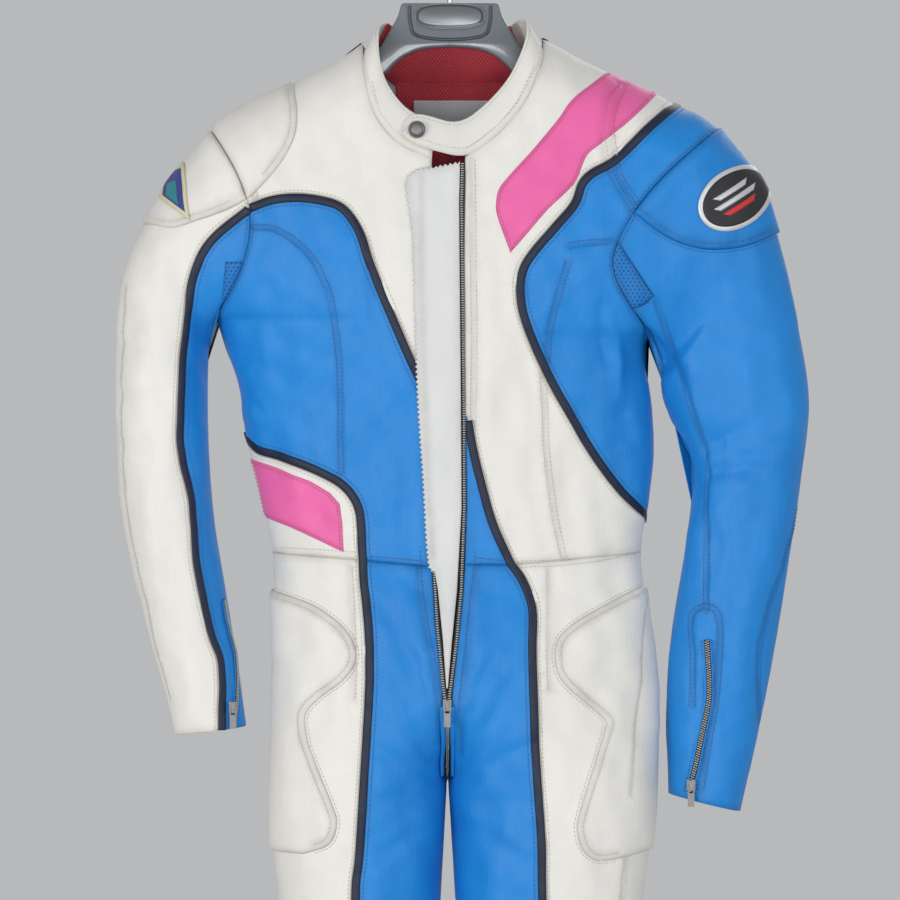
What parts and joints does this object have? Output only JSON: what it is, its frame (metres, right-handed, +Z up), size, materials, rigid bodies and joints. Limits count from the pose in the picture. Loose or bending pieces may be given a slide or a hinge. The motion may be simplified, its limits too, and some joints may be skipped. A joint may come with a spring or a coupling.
{
  "type": "motorcycle race suit on a hanger",
  "caption": "One-piece leather riding suit with contrast bands, pads and an open front zip, hanging on a plastic hanger.",
  "frame": {"origin": "inner top of the hanger's hook, where a rail would carry it", "axes": "+Z up, -Y out of the suit's front, +X towards the wearer's left sleeve"},
  "size_m": [0.699, 0.1879, 1.6058],
  "materials": {
    "white_leather": "fine grained, soft matt sheen",
    "blue_leather": "fine grained, soft sheen",
    "navy_leather": "smooth, slightly glossy",
    "pink_leather": "smooth, soft sheen",
    "red_mesh": "open knitted mesh",
    "label_cloth": "plain woven label",
    "zip_tape": "woven tape with metal teeth",
    "zip_metal": "worn nickel",
    "snap_metal": "dark lacquered",
    "hanger_plastic": "moulded, glossy",
    "hook_steel": "polished wire",
    "badge_black": "moulded badge with a silver rim",
    "badge_blue": "woven badge with a cream rim"
  },
  "bodies": {
    "suit": {"back_left_centre": "white_leather", "back_left_side": "blue_leather", "back_right_centre": "white_leather", "back_right_side": "blue_leather", "badge_left": "badge_black", "badge_right": "badge_blue", "band_arch": "navy_leather", "band_back_left": "navy_leather", "band_back_right": "navy_leather", "band_leg_left": "navy_leather", "band_shoulder": "navy_leather", "band_sleeve_right": "navy_leather", "band_waist_right": "navy_leather", "collar": "white_leather", "cuff_zip_left": "zip_tape", "cuff_zip_right": "zip_tape", "front_left_centre": "white_leather", "front_left_chest": "blue_leather", "front_left_wedge": "blue_leather", "front_right_chest": "blue_leather", "front_right_waist": "white_leather", "front_right_yoke": "white_leather", "gusset_left": "blue_leather", "gusset_right": "blue_leather", "hanger": "hanger_plastic", "hook": "hook_steel", "label": "label_cloth", "leg_left_back_inner": "blue_leather", "leg_left_back_outer": "white_leather", "leg_left_front_inner": "blue_leather", "leg_left_front_outer": "white_leather", "leg_right_back_inner": "blue_leather", "leg_right_back_outer": "white_leather", "leg_right_front_inner": "blue_leather", "leg_right_front_outer": "white_leather", "lining_collar": "red_mesh", "lining_nape": "red_mesh", "pad_hip_left": "white_leather", "pad_hip_right": "white_leather", "pad_shoulder_left": "blue_leather", "pad_shoulder_right": "white_leather", "pad_yoke_right": "white_leather", "patch_shoulder": "pink_leather", "patch_waist": "pink_leather", "sleeve_left_back": "blue_leather", "sleeve_left_front": "blue_leather", "sleeve_right_back": "white_leather", "sleeve_right_inner": "blue_leather", "sleeve_right_outer": "white_leather", "slider_cuff_left": "zip_metal", "slider_cuff_right": "zip_metal", "slider_main": "zip_metal", "snap": "snap_metal", "wind_flap": "white_leather", "zip_tape_left": "zip_tape", "zip_tape_right": "zip_tape"},
    "main_pull": {"pull_main": "zip_metal"},
    "right_cuff_pull": {"pull_cuff_right": "zip_metal"},
    "left_cuff_pull": {"pull_cuff_left": "zip_metal"}
  },
  "joints": [
    {"name": "main_pull_swing", "type": "hinge", "parent": "suit", "child": "main_pull", "pos_m": [-0.0028, -0.08904, -0.834], "axis": [-1, 0, 0], "range_deg": [0, 150]},
    {"name": "right_cuff_pull_swing", "type": "hinge", "parent": "suit", "child": "right_cuff_pull", "pos_m": [-0.2175, -0.03549, -0.838], "axis": [-1, 0, 0], "range_deg": [0, 150]},
    {"name": "left_cuff_pull_swing", "type": "hinge", "parent": "suit", "child": "left_cuff_pull", "pos_m": [0.2415, -0.04025, -0.916], "axis": [-1, 0, 0], "range_deg": [0, 150]}
  ]
}
